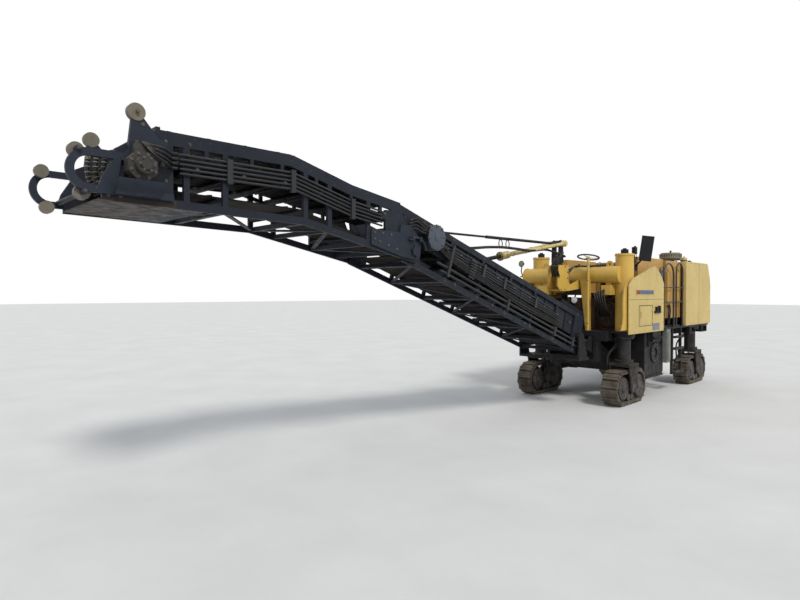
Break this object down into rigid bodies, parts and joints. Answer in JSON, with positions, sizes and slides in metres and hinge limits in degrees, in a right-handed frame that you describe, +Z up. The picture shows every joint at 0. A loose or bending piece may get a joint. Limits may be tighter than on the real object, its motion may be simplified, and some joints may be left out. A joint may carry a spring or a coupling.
{
  "type": "cold planer milling machine",
  "caption": "Cold planer on four steered tracks with a cutter drum under its yellow body and a long folding front discharge conveyor held by a boom.",
  "frame": {"origin": "on the ground below the middle of the whole machine's length and width", "axes": "+X along the conveyor towards its head, +Y to the machine's left, +Z up"},
  "size_m": [15.148, 2.8539, 3.981],
  "materials": {
    "yellow_paint": "weathered semi-gloss",
    "cream_paint": "faded matte",
    "orange_paint": "weathered semi-gloss",
    "black_paint": "dusty satin",
    "grey_paint": "worn satin",
    "steel": "dusty",
    "rubber": "dusty matte"
  },
  "bodies": {
    "chassis": {"main_frame": "black_paint", "cutter_housing": "black_paint", "front_portal": "yellow_paint", "body_panels": "cream_paint", "hood": "orange_paint", "engine_block": "black_paint", "operator_deck": "black_paint", "operator_station": "black_paint", "handrails": "grey_paint", "side_ladder": "grey_paint", "mirror": "black_paint", "air_precleaner": "cream_paint", "fittings": "black_paint", "gathering_conveyor": "black_paint", "gathering_belt": "rubber"},
    "fan": {"cooling_fan": "orange_paint"},
    "door": {"access_door": "cream_paint"},
    "rear_gate": {"moldboard": "black_paint"},
    "drum": {"cutter_drum": "steel"},
    "slew": {"slew_bracket": "black_paint"},
    "lower_section": {"lower_frame": "black_paint", "lower_belt": "rubber", "lower_lines": "grey_paint"},
    "upper_section": {"upper_frame": "black_paint", "upper_belt": "rubber", "head_drive": "grey_paint", "head_guards": "black_paint", "upper_lines": "grey_paint", "fold_hinge": "steel"},
    "boom": {"lift_boom": "yellow_paint"},
    "rod": {"lift_rod": "black_paint"},
    "stay": {"stay_tube": "black_paint"},
    "stay_end": {"stay_rod": "black_paint"},
    "track_fl": {"leg_fl": "steel", "track_frame_fl": "steel", "track_loop_fl": "steel"},
    "track_fr": {"leg_fr": "steel", "track_frame_fr": "steel", "track_loop_fr": "steel"},
    "track_rl": {"leg_rl": "steel", "track_frame_rl": "steel", "track_loop_rl": "steel"},
    "track_rr": {"leg_rr": "steel", "track_frame_rr": "steel", "track_loop_rr": "steel"}
  },
  "joints": [
    {"name": "steer_fl", "type": "hinge", "parent": "chassis", "child": "track_fl", "pos_m": [-2.6, 0.975, 1], "axis": [0, 0, 1], "range_deg": [-20, 20]},
    {"name": "steer_fr", "type": "hinge", "parent": "chassis", "child": "track_fr", "pos_m": [-2.6, -0.975, 1], "axis": [0, 0, 1], "range_deg": [-20, 20]},
    {"name": "steer_rl", "type": "hinge", "parent": "chassis", "child": "track_rl", "pos_m": [-6.58, 0.975, 1], "axis": [0, 0, 1], "range_deg": [-20, 20]},
    {"name": "steer_rr", "type": "hinge", "parent": "chassis", "child": "track_rr", "pos_m": [-6.58, -0.975, 1], "axis": [0, 0, 1], "range_deg": [-20, 20]},
    {"name": "conveyor_slew", "type": "hinge", "parent": "chassis", "child": "slew", "pos_m": [-1.6, 0, 1], "axis": [0, 0, 1], "range_deg": [-40, 40]},
    {"name": "conveyor_lift", "type": "hinge", "parent": "slew", "child": "lower_section", "pos_m": [-1.35, 0, 1.4], "axis": [0, -1, 0], "range_deg": [-12, 8]},
    {"name": "conveyor_fold", "type": "hinge", "parent": "lower_section", "child": "upper_section", "pos_m": [3.35, 0, 2.85], "axis": [0, 1, 0], "range_deg": [0, 35]},
    {"name": "lift_boom_pivot", "type": "hinge", "parent": "slew", "child": "boom", "pos_m": [-1.6, 0, 3.3], "axis": [0, -1, 0], "range_deg": [-9.5, 6.5]},
    {"name": "lift_rod_slide", "type": "slide", "parent": "boom", "child": "rod", "axis": [0.9856, 0, -0.169], "range_m": [-0.26, 0.38]},
    {"name": "stay_pivot", "type": "hinge", "parent": "slew", "child": "stay", "pos_m": [-1.6, 0, 3.3], "axis": [0, -1, 0], "range_deg": [-11, 7.5]},
    {"name": "stay_rod_slide", "type": "slide", "parent": "stay", "child": "stay_end", "axis": [0.994, 0.1056, -0.0275], "range_m": [-0.27, 0.4]},
    {"name": "cutter_spin", "type": "hinge", "parent": "chassis", "child": "drum", "pos_m": [-3.9, 0, 0.96], "axis": [0, 1, 0], "continuous": true},
    {"name": "fan_spin", "type": "hinge", "parent": "chassis", "child": "fan", "pos_m": [-2.785, 0.58, 1.83], "axis": [1, 0, 0], "continuous": true},
    {"name": "rear_gate_slide", "type": "slide", "parent": "chassis", "child": "rear_gate", "axis": [0, 0, 1], "range_m": [0, 0.25]},
    {"name": "access_door_hinge", "type": "hinge", "parent": "chassis", "child": "door", "pos_m": [-3.502, 1.212, 1.8], "axis": [0, 0, 1], "range_deg": [0, 110]}
  ],
  "couplings": [
    {"joint": "steer_fr", "follows": "steer_fl", "ratio": 1},
    {"joint": "steer_rr", "follows": "steer_rl", "ratio": 1},
    {"joint": "lift_boom_pivot", "follows": "conveyor_lift", "ratio": 0.79},
    {"joint": "lift_rod_slide", "follows": "conveyor_lift", "m_per_rad": -1.804},
    {"joint": "stay_pivot", "follows": "conveyor_lift", "ratio": 0.914},
    {"joint": "stay_rod_slide", "follows": "conveyor_lift", "m_per_rad": -1.863}
  ]
}
